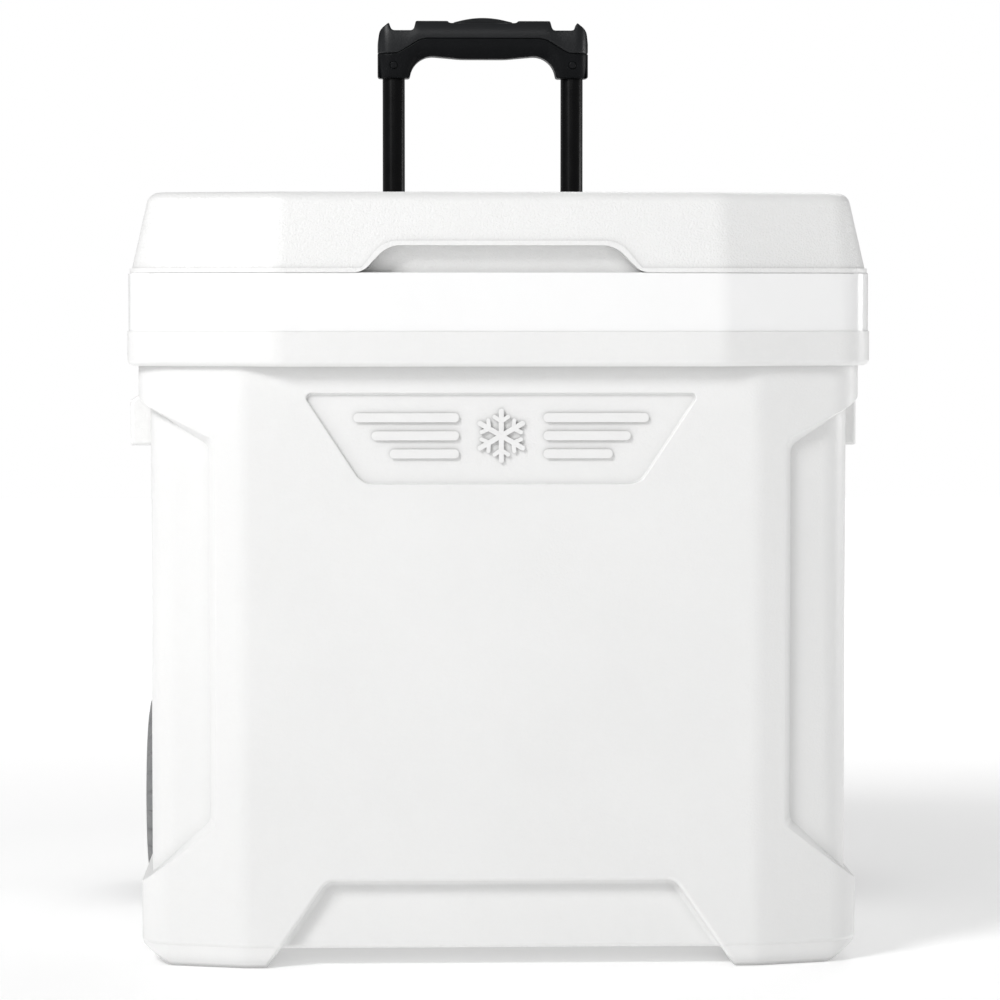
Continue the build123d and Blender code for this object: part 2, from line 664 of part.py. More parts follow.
def make_lid_foam():
    gap = FOAM_GAP
    foam = lid_form(WALL + gap, DECK_Z + LINER_WALL + gap, LID_TOP_Z - WALL * 1.5 - gap)
    foam -= notch_cut(WALL + gap)
    foam += plug_block(-LINER_WALL - gap, DECK_Z - PLUG_DEPTH + LINER_WALL + gap, DECK_Z + 5)
    for side in (-1, 1):
        for dx in HINGE_SCREW_DX:
            foam -= rod_y(side * HINGE_X + dx, HINGE_LID_SCREW_Z, SCREW_R + gap,
                          LID_BACK_Y - 16, LID_BACK_Y)
    return foam


# ==========================================================================================
# hinges (right one; the left is its mirror image)
# ==========================================================================================
def make_hinge_body_leaf():
    half = HINGE_WIDTH / 2 - 2
    base = block(HINGE_X - half, HINGE_X + half, LID_BACK_Y + 2, HINGE_SCREW_Y + 8,
                 DECK_Z, DECK_Z + HINGE_BASE_T)
    base = fillet(base.edges().filter_by(Axis.Z), 3.0)
    mid = HINGE_MIDDLE / 2 - 0.3
    leaf = base + block(HINGE_X - mid, HINGE_X + mid, HINGE_Y - 3, HINGE_Y + 5, DECK_Z + 1, HINGE_Z)
    gusset = rounded_face([(HINGE_Y + 4, DECK_Z + 2), (HINGE_SCREW_Y + 7, DECK_Z + 2),
                           (HINGE_Y + 4, DECK_Z + 26)], [0, 0, 0])
    leaf += side_prism(gusset, HINGE_X - 3, HINGE_X + 3)
    leaf += rod_x(HINGE_Y, HINGE_Z, KNUCKLE_R, HINGE_X - mid, HINGE_X + mid)
    leaf -= rod_x(HINGE_Y, HINGE_Z, HINGE_PIN_R + PIN_GAP, HINGE_X - 40, HINGE_X + 40)
    for dx in HINGE_SCREW_DX:
        leaf -= rod_z(HINGE_X + dx, HINGE_SCREW_Y, SCREW_R + PIN_GAP, DECK_Z - 1, DECK_Z + 10)
    return leaf


def make_hinge_lid_leaf():
    half = HINGE_WIDTH / 2
    plate = block(HINGE_X - half, HINGE_X + half, LID_BACK_Y, LID_BACK_Y + 3,
                  HINGE_LID_SCREW_Z - 6, HINGE_Z - 10)
    leaf = fillet(plate.edges().filter_by(Axis.Y), 3.0)
    for low, high in ((-half, -HINGE_MIDDLE / 2), (HINGE_MIDDLE / 2, half)):
        x_low = HINGE_X + low
        x_high = HINGE_X + high
        leaf += block(x_low, x_high, LID_BACK_Y, HINGE_Y - 2, HINGE_LID_SCREW_Z + 8, HINGE_Z)
        leaf += rod_x(HINGE_Y, HINGE_Z, KNUCKLE_R, x_low, x_high)
    leaf -= rod_x(HINGE_Y, HINGE_Z, HINGE_PIN_R + 0.02, HINGE_X - 40, HINGE_X + 40)
    for dx in HINGE_SCREW_DX:
        leaf -= rod_y(HINGE_X + dx, HINGE_LID_SCREW_Z, SCREW_R + PIN_GAP,
                      LID_BACK_Y - 1, LID_BACK_Y + 5)
    return leaf


def make_hinge_pin():
    half = HINGE_WIDTH / 2
    pin = rod_x(HINGE_Y, HINGE_Z, HINGE_PIN_R, HINGE_X - half, HINGE_X + half)
    for low in (-half - 1.5, half):
        head = rod_x(HINGE_Y, HINGE_Z, HINGE_PIN_R + 1.5, HINGE_X + low, HINGE_X + low + 1.5)
        pin += head
    return pin


def pan_screw(length):
    """A pan-head screw pointing down, with its head resting on z = 0 and a cross recess."""
    head = fillet((Pos(0, 0, 1.2) * Cylinder(4.0, 2.4)).faces().sort_by(Axis.Z)[-1].edges(), 1.0)
    screw = head + Pos(0, 0, -length / 2) * Cylinder(SCREW_R, length)
    for turn in (0, 90):
        screw -= Rot(0, 0, turn) * Pos(0, 0, 2.1) * Box(4.4, 0.9, 1.4)
    return screw


def make_hinge_body_screws():
    top = DECK_Z + HINGE_BASE_T
    return [Pos(side * HINGE_X + dx, HINGE_SCREW_Y, top) * pan_screw(16)
            for side in (-1, 1) for dx in HINGE_SCREW_DX]


def make_hinge_lid_screws():
    turn = Rot(-90, 0, 0)
    return [Pos(side * HINGE_X + dx, LID_BACK_Y + 3, HINGE_LID_SCREW_Z) * turn * pan_screw(16)
            for side in (-1, 1) for dx in HINGE_SCREW_DX]


# ==========================================================================================
# wheels (right one; the left is its mirror image)
# ==========================================================================================
def wheel_ring(outer, inner, x_low, x_high):
    """A ring round the axle's line."""
    bore = rod_x(AXLE_Y, AXLE_Z, inner, x_low - 1, x_high + 1)
    return rod_x(AXLE_Y, AXLE_Z, outer, x_low, x_high) - bore


def make_tyre():
    tyre = rod_x(AXLE_Y, AXLE_Z, TYRE_R, TYRE_IN_X, TYRE_OUT_X)
    tyre = fillet(tyre.edges(), 7.0)
    return tyre - rod_x(AXLE_Y, AXLE_Z, HUB_R, TYRE_IN_X - 1, TYRE_OUT_X + 1)


def make_hub():
    """A moulded wheel: barrel, dished outer face with six windows, ribs and a long boss."""
    hub = wheel_ring(HUB_R, HUB_R - 4, TYRE_IN_X + 2, TYRE_OUT_X - 1)
    face = wheel_ring(HUB_R - 3, BUSH_R, TYRE_OUT_X - 12, TYRE_OUT_X - 7)
    rib_length = HUB_R - 4 - BUSH_R - 2
    rib_mid = BUSH_R + 1 + rib_length / 2
    for spoke in range(SPOKES):
        turn = Pos(0, AXLE_Y, AXLE_Z) * Rot(60 * spoke, 0, 0)
        window = rounded_face([(-7.5, 21), (7.5, 21), (16, 43), (-16, 43)], [4, 4, 5, 5])
        face -= turn * Rot(30, 0, 0) * side_prism(window, TYRE_OUT_X - 20, TYRE_OUT_X)
        hub += turn * Pos(TYRE_OUT_X - 24, 0, rib_mid) * Box(26, 4, rib_length + 4)
    hub += face
    hub += rod_x(AXLE_Y, AXLE_Z, HUB_BOSS_R, HUB_IN_X, HUB_OUT_X)
    return hub - rod_x(AXLE_Y, AXLE_Z, BUSH_R, 190, 270)


def make_bush():
    return wheel_ring(BUSH_R, AXLE_R + PIN_GAP, HUB_IN_X, HUB_OUT_X)


def make_axle():
    return rod_x(AXLE_Y, AXLE_Z, AXLE_R, -TYRE_OUT_X, TYRE_OUT_X)


def make_axle_sleeve():
    end = WELL_X - WALL - 0.1
    return wheel_ring(SLEEVE_R, AXLE_R + PIN_GAP, -end, end)


def make_axle_washer():
    return wheel_ring(WASHER_R, AXLE_R + PIN_GAP, WELL_X, HUB_IN_X - 0.2)


def make_axle_cap():
    cap = rod_x(AXLE_Y, AXLE_Z, AXLE_CAP_R, HUB_OUT_X + 0.3, TYRE_OUT_X + 3.5)
    cap = fillet(cap.faces().sort_by(Axis.X)[-1].edges(), 3.0)
    return cap - rod_x(AXLE_Y, AXLE_Z, AXLE_R, HUB_OUT_X, TYRE_OUT_X)


# ==========================================================================================
# pull handle (right side pieces; the left are their mirror images)
# ==========================================================================================
def tube(x, outer, inner, z_low, z_high):
    return rod_z(x, TUBE_Y, outer, z_low, z_high) - rod_z(x, TUBE_Y, inner, z_low - 1, z_high + 1)


def make_guide_tube():
    return tube(TUBE_X, GUIDE_R, GUIDE_BORE_R, GUIDE_LOW_Z, DECK_Z)


def make_guide_plug():
    plug = rod_z(TUBE_X, TUBE_Y, GUIDE_R, GUIDE_LOW_Z - 5, GUIDE_LOW_Z)
    return plug + rod_z(TUBE_X, TUBE_Y, GUIDE_BORE_R, GUIDE_LOW_Z - 1, GUIDE_LOW_Z + 3)


def make_handle_bezel():
    """The dark plate on the rear deck that the handle slides through."""
    bezel = block(-94, 94, 180, 214, DECK_Z, BEZEL_TOP_Z)
    bezel = fillet(bezel.edges().filter_by(Axis.Z), 8.0)
    bezel = fillet(bezel.faces().sort_by(Axis.Z)[-1].edges(), 1.5)
    for x in (-TUBE_X, TUBE_X):
        bezel -= rod_z(x, TUBE_Y, GUIDE_BORE_R, DECK_Z - 1, BEZEL_TOP_Z + 1)
    return bezel


def tube_bracket(z_low, z_high, pocket_z, screw_z):
    """A moulded bar across the channel that holds both guide tubes."""
    back = BRACKET_BACK_Y
    half = CHANNEL_HALF_WIDTH - 1
    bar = block(-half, half, CHANNEL_FRONT_Y, back, z_low, z_high)
    bar -= block(-34, 34, CHANNEL_FRONT_Y + 10, back + 1, z_low - 1, z_high + 1)
    bar = fillet(bar.edges().filter_by(Axis.Z).group_by(Axis.Y)[-1], 2.5)
    for side in (-1, 1):
        bar -= rod_z(side * TUBE_X, TUBE_Y, GUIDE_R, pocket_z, z_high + 1)
        for dx in (-CLAMP_SCREW_DX, CLAMP_SCREW_DX):
            bar -= rod_y(side * TUBE_X + dx, screw_z, CLAMP_SCREW_R + PIN_GAP,
                         CHANNEL_FRONT_Y - 1, back + 1)
    return bar


def make_foot_bracket():
    return tube_bracket(CHANNEL_LOW_Z, CLAMP_HEIGHTS[0] + 6, GUIDE_LOW_Z - 5, CLAMP_HEIGHTS[0])


def make_tube_clamp():
    low = CLAMP_HEIGHTS[1] - 6
    return tube_bracket(low, CLAMP_HEIGHTS[1] + 6, low - 1, CLAMP_HEIGHTS[1])


def make_bracket_screws():
    turn = Rot(-90, 0, 0)
    return [Pos(side * TUBE_X + dx, BRACKET_BACK_Y, z) * turn * pan_screw(44)
            for z in CLAMP_HEIGHTS for side in (-1, 1) for dx in (-CLAMP_SCREW_DX, CLAMP_SCREW_DX)]


def make_middle_tube():
    return tube(TUBE_X, MIDDLE_R, MIDDLE_BORE_R, MIDDLE_LOW_Z, MIDDLE_COLLAR_TOP_Z - COLLAR_HEIGHT)


def make_middle_collar():
    top = MIDDLE_COLLAR_TOP_Z
    collar = rod_z(TUBE_X, TUBE_Y, COLLAR_R, top - COLLAR_HEIGHT, top)
    collar = fillet(collar.faces().sort_by(Axis.Z)[-1].edges(), 1.2)
    return collar - rod_z(TUBE_X, TUBE_Y, MIDDLE_BORE_R, MIDDLE_LOW_Z, top + 1)


def make_inner_tube():
    inner = tube(TUBE_X, INNER_R, INNER_BORE_R, INNER_LOW_Z, TUBE_TOP_Z)
    return inner - rod_y(TUBE_X, GRIP_SCREW_Z, 1.55, TUBE_Y - 12, TUBE_Y)


def make_inner_glide():
    """The plastic foot of an inner tube, which carries the lock pin."""
    glide = rod_z(TUBE_X, TUBE_Y, GLIDE_R, GLIDE_LOW_Z, INNER_LOW_Z)
    glide += rod_z(TUBE_X, TUBE_Y, INNER_BORE_R, INNER_LOW_Z - 1, INNER_LOW_Z + 10)
    glide -= rod_z(TUBE_X, TUBE_Y, 3.2, LOCK_Z - 3.5, INNER_LOW_Z + 11)
    return glide - rod_x(TUBE_Y, LOCK_Z, LOCK_PIN_R + PIN_GAP, TUBE_X, TUBE_X + 12)


def make_lock_pin():
    pin = rod_x(TUBE_Y, LOCK_Z, LOCK_PIN_R, TUBE_X + 1.8, TUBE_X + 8.4)
    return fillet(pin.faces().sort_by(Axis.X)[-1].edges(), 0.8)


def grip_blank():
    """The whole grip before it is split: an arch with a notch and a horn at each end."""
    face = mirrored_face([(17, 628.4), (52, 631.6), (55.9, GRIP_LOW_Z), (80.3, GRIP_LOW_Z),
                          (80.3, 640), (78.8, 650.5), (71.6, 656), (69.8, 650), (53, 650),
                          (51.2, 657.2), (27, 657.2), (25.4, 655.6)],
                         [60, 17, 1, 1.5, 20, 10, 0.5, 3, 2.5, 0.5, 0.6, 0])
    y_low = TUBE_Y - GRIP_HALF_DEPTH
    y_high = TUBE_Y + GRIP_HALF_DEPTH
    plan = rounded_face([(-GRIP_HALF_WIDTH, y_low), (GRIP_HALF_WIDTH, y_low),
                         (GRIP_HALF_WIDTH, y_high), (-GRIP_HALF_WIDTH, y_high)], [10] * 4)
    return front_prism(face, y_low, y_high) & raise_face(plan, GRIP_LOW_Z - 1, GRIP_TOP_Z + 5)


def grip_hollow():
    """The space inside the grip for the yoke, the button, the spring and the tube ends."""
    hollow = block(-72, 72, TUBE_Y - 5.2, TUBE_Y + 5.2, 635.5, YOKE_TOP_Z + 1)
    half = BUTTON_HALF_LENGTH + 0.4
    hollow += block(-half, half, TUBE_Y - 7.4, TUBE_Y + 7.4, 641.5, GRIP_TOP_Z + 9)
    hollow += rod_z(0, TUBE_Y, 4.0, 632, 637)
    for x in (-TUBE_X, TUBE_X):
        hollow += rod_z(x, TUBE_Y, INNER_R, GRIP_LOW_Z - 5, TUBE_TOP_Z)
        hollow += rod_z(x, TUBE_Y, ROD_R + 0.6, TUBE_TOP_Z - 1, 637)
        hollow += rod_y(x, GRIP_SCREW_Z, 1.55, TUBE_Y - 20, TUBE_Y)
        hollow += rod_y(x, GRIP_SCREW_Z, GRIP_SCREW_HEAD_R + PIN_GAP, TUBE_Y - 20,
                        TUBE_Y - GRIP_HALF_DEPTH + GRIP_SCREW_HEAD_T + PIN_GAP)
    return hollow


def grip_lower_zone(drop):
    """The part of the grip below its parting line, which steps up over the hand space."""
    face = mirrored_face([(90, 600), (90, 632.3 - drop), (65.5, 632.3 - drop),
                          (47, 643.6 - drop)], [0, 0, 14, 14])
    return front_prism(face, TUBE_Y - 30, TUBE_Y + 30)


def make_grip_body():
    return grip_blank() - grip_hollow() - grip_lower_zone(0)


def make_grip_underside():
    return (grip_blank() & grip_lower_zone(0.05)) - grip_hollow()


def make_grip_screws():
    screws = []
    for x in (-TUBE_X, TUBE_X):
        front = TUBE_Y - GRIP_HALF_DEPTH
        head = rod_y(x, GRIP_SCREW_Z, GRIP_SCREW_HEAD_R, front - 0.2, front + GRIP_SCREW_HEAD_T)
        head = fillet(head.faces().sort_by(Axis.Y)[0].edges(), 0.6)
        screws.append(head + rod_y(x, GRIP_SCREW_Z, 1.5, front + 1, TUBE_Y - INNER_BORE_R + 0.5))
    return screws


def make_release_button():
    top = rounded_face([(-22.6, 646), (22.6, 646), (22.6, 656.2), (0, 661.6), (-22.6, 656.2)],
                       [1, 1, 1.2, 70, 1.2])
    button = front_prism(top, TUBE_Y - 7, TUBE_Y + 7)
    return button + block(-8, 8, TUBE_Y - 4, TUBE_Y + 4, YOKE_TOP_Z, 647)


def make_push_yoke():
    yoke = block(-71, 71, TUBE_Y - YOKE_HALF_Y, TUBE_Y + YOKE_HALF_Y, YOKE_LOW_Z, YOKE_TOP_Z)
    return fillet(yoke.edges().filter_by(Axis.Z), 2.0)


def make_push_rod():
    return rod_z(TUBE_X, TUBE_Y, ROD_R, INNER_LOW_Z + 0.3, YOKE_LOW_Z)


def make_button_spring():
    """The return spring under the yoke, as the plain sleeve that its coils fill."""
    return tube(0, SPRING_R, SPRING_R - 1.2, 632, YOKE_LOW_Z)


# ==========================================================================================
# drain, on the right side
# ==========================================================================================
def drain_ring(outer, inner, x_low, x_high):
    """A ring round the drain's line."""
    bore = rod_x(DRAIN_Y, DRAIN_Z, inner, x_low - 1, x_high + 1)
    return rod_x(DRAIN_Y, DRAIN_Z, outer, x_low, x_high) - bore


def make_drain_body():
    flange = drain_ring(DRAIN_FLANGE_R, DRAIN_BORE_R, DRAIN_POCKET_X + 1, DRAIN_POCKET_X + 3)
    pipe = drain_ring(DRAIN_R, DRAIN_BORE_R, TUB_HALF_WIDTH - 7, DRAIN_POCKET_X + 1)
    spout = drain_ring(DRAIN_SPOUT_R, DRAIN_BORE_R, DRAIN_POCKET_X + 2, DRAIN_SPOUT_END)
    return flange + pipe + spout


def make_drain_gasket():
    return drain_ring(16, DRAIN_R + 0.02, DRAIN_POCKET_X, DRAIN_POCKET_X + 1)


def make_drain_nut():
    hexagon = Pos(DRAIN_Y, DRAIN_Z) * RegularPolygon(DRAIN_NUT_R, 6)
    nut = extrude(Plane.YZ.offset(TUB_HALF_WIDTH - 5) * hexagon, amount=5, dir=(1, 0, 0))
    return nut - rod_x(DRAIN_Y, DRAIN_Z, DRAIN_R + 0.02, TUB_HALF_WIDTH - 6, TUB_HALF_WIDTH + 1)


def make_drain_seal():
    return drain_ring(10.6, 5, DRAIN_SPOUT_END, DRAIN_SPOUT_END + 1.2)


def make_drain_cap():
    end = DRAIN_SPOUT_END
    cap = rod_x(DRAIN_Y, DRAIN_Z, DRAIN_CAP_R, end - 3.2, end + 3.8)
    cap = fillet(cap.faces().sort_by(Axis.X)[-1].edges(), 1.2)
    cap -= rod_x(DRAIN_Y, DRAIN_Z, DRAIN_SPOUT_R + 0.4, end - 4, end + 1.25)
    for flute in range(12):
        turn = Pos(0, DRAIN_Y, DRAIN_Z) * Rot(30 * flute, 0, 0)
        cap -= turn * Pos(end, 0, DRAIN_CAP_R + 0.7) * Rot(0, 90, 0) * Cylinder(1.6, 20)
    return cap


# ==========================================================================================
# the named pieces
# ==========================================================================================
def build_pieces():
    pieces = {
        "outer_shell": make_outer_shell(),
        "insulation_core": make_insulation(),
        "inner_liner": make_inner_liner(),
        "lid_cover": make_lid_cover(),
        "lid_foam": make_lid_foam(),
        "lid_liner": make_lid_liner(),
        "hinge_body_screws": make_hinge_body_screws(),
        "hinge_lid_screws": make_hinge_lid_screws(),
        "axle": make_axle(),
        "axle_sleeve": make_axle_sleeve(),
        "handle_bezel": make_handle_bezel(),
        "tube_foot_bracket": make_foot_bracket(),
        "tube_clamp": make_tube_clamp(),
        "bracket_screws": make_bracket_screws(),
        "grip_body": make_grip_body(),
        "grip_underside": make_grip_underside(),
        "grip_screws": make_grip_screws(),
        "release_button": make_release_button(),
        "push_yoke": make_push_yoke(),
        "button_spring": make_button_spring(),
        "drain_body": make_drain_body(),
        "drain_gasket": make_drain_gasket(),
        "drain_nut": make_drain_nut(),
        "drain_seal": make_drain_seal(),
        "drain_cap": make_drain_cap(),
    }
    paired = {
        "hinge_body_leaf": make_hinge_body_leaf(),
        "hinge_lid_leaf": make_hinge_lid_leaf(),
        "hinge_pin": make_hinge_pin(),
        "wheel_tyre": make_tyre(),
        "wheel_hub": make_hub(),
        "wheel_bush": make_bush(),
        "axle_washer": make_axle_washer(),
        "axle_cap": make_axle_cap(),
        "guide_tube": make_guide_tube(),
        "guide_plug": make_guide_plug(),
        "middle_tube": make_middle_tube(),
        "middle_collar": make_middle_collar(),
        "inner_tube": make_inner_tube(),
        "inner_glide": make_inner_glide(),
        "lock_pin": make_lock_pin(),
        "push_rod": make_push_rod(),
    }
    for name, right in paired.items():
        pieces[name + "_right"] = right
        pieces[name + "_left"] = other_side(right)
    return pieces


def save_pieces():
    os.makedirs("parts", exist_ok=True)
    for name, piece in build_pieces().items():
        solids = piece if isinstance(piece, list) else [piece]
        solids = [solid for part in solids for solid in part.solids()]
        shape = solids[0] if len(solids) == 1 else Compound(children=solids)
        export_step(shape, "parts/" + name + ".step")


save_pieces()
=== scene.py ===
"""A wheeled cooler: white moulded body and lid, black two-stage pull handle, two grey tyred wheels.

Everything is in metres in the frame's own axes: +Z up, front towards -Y.
"""
import json
import math

import bmesh
import bpy
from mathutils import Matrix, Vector


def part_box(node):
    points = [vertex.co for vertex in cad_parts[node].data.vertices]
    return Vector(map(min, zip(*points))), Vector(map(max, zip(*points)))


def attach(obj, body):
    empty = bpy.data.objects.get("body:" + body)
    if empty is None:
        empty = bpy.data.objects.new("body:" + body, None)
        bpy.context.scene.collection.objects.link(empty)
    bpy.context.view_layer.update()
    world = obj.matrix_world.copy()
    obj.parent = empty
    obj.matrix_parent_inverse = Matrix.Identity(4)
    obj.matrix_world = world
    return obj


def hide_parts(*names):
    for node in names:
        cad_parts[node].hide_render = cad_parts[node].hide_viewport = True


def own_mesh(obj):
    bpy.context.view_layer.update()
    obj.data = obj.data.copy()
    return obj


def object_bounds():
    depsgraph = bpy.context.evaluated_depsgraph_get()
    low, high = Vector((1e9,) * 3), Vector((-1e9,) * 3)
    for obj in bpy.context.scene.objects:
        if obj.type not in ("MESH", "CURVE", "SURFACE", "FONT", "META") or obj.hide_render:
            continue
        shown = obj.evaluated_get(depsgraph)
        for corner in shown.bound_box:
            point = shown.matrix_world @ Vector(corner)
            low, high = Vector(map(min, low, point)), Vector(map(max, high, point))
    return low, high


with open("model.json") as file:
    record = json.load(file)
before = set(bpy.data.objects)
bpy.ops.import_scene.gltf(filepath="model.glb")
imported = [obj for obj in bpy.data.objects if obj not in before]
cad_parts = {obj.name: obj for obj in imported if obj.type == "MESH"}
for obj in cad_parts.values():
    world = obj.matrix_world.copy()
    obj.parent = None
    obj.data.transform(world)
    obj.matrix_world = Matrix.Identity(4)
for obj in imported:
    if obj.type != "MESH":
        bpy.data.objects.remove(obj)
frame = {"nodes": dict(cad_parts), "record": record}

CAD_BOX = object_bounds()
MM = 0.001
NODES = frame["nodes"]
BODY_OF = {node: body for body, members in frame["record"]["behaviour"]["bodies"].items()
           for node in members}
SLOT_OF = {row["node"]: row["material_slot"] for row in frame["record"]["subparts"]}


# ==========================================================================================
# materials
# ==========================================================================================
def blank_material(name, colour, roughness, **settings):
    """A material with one Principled shader, its constant settings on the shader's own sockets."""
    material = bpy.data.materials.new(name)
    material.use_nodes = True
    shader = material.node_tree.nodes["Principled BSDF"]
    shader.inputs["Base Color"].default_value = (*colour, 1)
    shader.inputs["Roughness"].default_value = roughness
    for socket, value in settings.items():
        shader.inputs[socket.replace("_", " ")].default_value = value
    return material, shader


def add_node(material, kind, inputs=None, **settings):
    """One more node, with its settings, default values and links."""
    node = material.node_tree.nodes.new(kind)
    for key, value in settings.items():
        setattr(node, key, value)
    for socket, value in (inputs or {}).items():
        if isinstance(value, bpy.types.NodeSocket):
            material.node_tree.links.new(value, node.inputs[socket])
        else:
            node.inputs[socket].default_value = value
    return node


def place(material):
    """Where a point is on its own piece, in metres."""
    return add_node(material, "ShaderNodeTexCoord").outputs["Object"]


def noise(material, size, detail=3.0, rough=0.5, where=None):
    """Cloudy noise whose lumps are about that size in metres."""
    return add_node(material, "ShaderNodeTexNoise",
                    {"Vector": where or place(material), "Scale": 1 / size, "Detail": detail,
                     "Roughness": rough}).outputs["Fac"]


def spread(material, value, low, high, low_in=0.3, high_in=0.7):
    """The value's usual range brought to low .. high."""
    return add_node(material, "ShaderNodeMapRange",
                    {"Value": value, "From Min": low_in, "From Max": high_in,
                     "To Min": low, "To Max": high}).outputs["Result"]


def mix_colours(material, factor, first, second):
    node = add_node(material, "ShaderNodeMix", data_type="RGBA")
    tree = material.node_tree
    tree.links.new(factor, node.inputs["Factor"])
    for index, value in ((6, first), (7, second)):
        if isinstance(value, bpy.types.NodeSocket):
            tree.links.new(value, node.inputs[index])
        else:
            node.inputs[index].default_value = (*value, 1)
    return node.outputs[2]


def bump(material, shader, height, depth, under=None):
    """Raises the surface's shading by height times depth in metres."""
    inputs = {"Height": height, "Distance": depth, "Strength": 1.0}
    if under is not None:
        inputs["Normal"] = under
    node = add_node(material, "ShaderNodeBump", inputs)
    material.node_tree.links.new(node.outputs["Normal"], shader.inputs["Normal"])
    return node.outputs["Normal"]


def link(material, value, shader, socket):
    material.node_tree.links.new(value, shader.inputs[socket])


def with_painted_crease_shade(material, tone, colour, crease_shade):
    """The tone with painted shade: greyer, by ambient occlusion, where neighbouring walls close a spot in."""
    if not crease_shade:
        return tone
    closed = add_node(material, "ShaderNodeAmbientOcclusion", {"Distance": CREASE_SHADE_REACH}, samples=8)
    # painted shade: how far the tone goes towards the dark grey, from how closed in the spot is
    painted_shade = spread(material, closed.outputs["AO"], crease_shade, 0, 0.25, 0.95)
    # the dark grey, 0.45 of the colour, is the painted crease shade
    return mix_colours(material, painted_shade, tone, tuple(0.45 * part for part in colour))


def grained_plastic(name, colour, shade, roughness, grain, depth, waves=0.00012, crease_shade=0.0, **settings):
    """Moulded plastic with a leathery grain: rounded pebbles of about the given size."""
    material, shader = blank_material(name, colour, roughness, **settings)
    at = place(material)
    wander = add_node(material, "ShaderNodeTexNoise", {"Vector": at, "Scale": 0.7 / grain, "Detail": 1.0})
    push = add_node(material, "ShaderNodeVectorMath", {0: wander.outputs["Color"], 1: (grain,) * 3},
                    operation="MULTIPLY")
    moved = add_node(material, "ShaderNodeVectorMath", {0: at, 1: push.outputs["Vector"]}, operation="ADD")
    cells = add_node(material, "ShaderNodeTexVoronoi",
                     {"Vector": moved.outputs["Vector"], "Scale": 1 / grain}, feature="SMOOTH_F1")
    pebbles = spread(material, cells.outputs["Distance"], 1, 0, 0.1, 0.75)
    broad = noise(material, 0.06, 2.0)
    under = bump(material, shader, broad, waves)
    bump(material, shader, pebbles, depth, under=under)
    tone = mix_colours(material, spread(material, noise(material, 0.09, 4.0), 0, 1), colour, shade)
    # base colour, with painted shade in the creases when asked for
    link(material, with_painted_crease_shade(material, tone, colour, crease_shade), shader, "Base Color")
    link(material, spread(material, noise(material, 0.02), roughness - 0.04, roughness + 0.06),
         shader, "Roughness")
    return material


def smooth_plastic(name, colour, shade, roughness, waves=0.00006, fine=0.0, **settings):
    """Smooth moulded plastic with the slight waviness and haze of a real moulding."""
    material, shader = blank_material(name, colour, roughness, **settings)
    under = bump(material, shader, noise(material, 0.035, 2.0), waves)
    if fine:
        bump(material, shader, noise(material, 0.0007, 2.0), fine, under=under)
    tone = mix_colours(material, spread(material, noise(material, 0.05, 5.0), 0, 1), colour, shade)
    link(material, tone, shader, "Base Color")
    link(material, spread(material, noise(material, 0.012, 5.0), roughness - 0.03, roughness + 0.07),
         shader, "Roughness")
    return material


def brushed_metal(name, colour, roughness, stretch=(1, 60, 60)):
    """Drawn or turned steel, with fine scratches along its first axis."""
    material, shader = blank_material(name, colour, roughness, Metallic=1.0)
    scaled = add_node(material, "ShaderNodeMapping", {"Vector": place(material), "Scale": stretch})
    lines = noise(material, 0.02, 4.0, where=scaled.outputs["Vector"])
    bump(material, shader, lines, 0.00002)
    link(material, spread(material, lines, roughness - 0.08, roughness + 0.12), shader, "Roughness")
    tone = mix_colours(material, spread(material, noise(material, 0.01), 0, 1), colour,
                       tuple(0.75 * c for c in colour))
    link(material, tone, shader, "Base Color")
    return material


def cellular_foam(name, colour, shade):
    """Rigid foam: small open cells in a matt cream body."""
    material, shader = blank_material(name, colour, 0.95)
    cells = add_node(material, "ShaderNodeTexVoronoi", {"Vector": place(material), "Scale": 1 / 0.0016})
    bump(material, shader, cells.outputs["Distance"], 0.0006)
    tone = mix_colours(material, spread(material, noise(material, 0.01, 4.0), 0, 1), colour, shade)
    link(material, tone, shader, "Base Color")
    return material


def rubber(name, colour, dust, roughness, dust_size=0.01, **settings):
    """Matt rubber with a little pale dust in its low spots."""
    material, shader = blank_material(name, colour, roughness, **settings)
    fine = noise(material, 0.0008, 3.0)
    bump(material, shader, fine, 0.00008)
    patches = spread(material, noise(material, dust_size, 6.0, 0.65), 0, 1, 0.35, 0.75)
    link(material, mix_colours(material, patches, colour, dust), shader, "Base Color")
    link(material, spread(material, fine, roughness - 0.06, roughness + 0.08), shader, "Roughness")
    return material
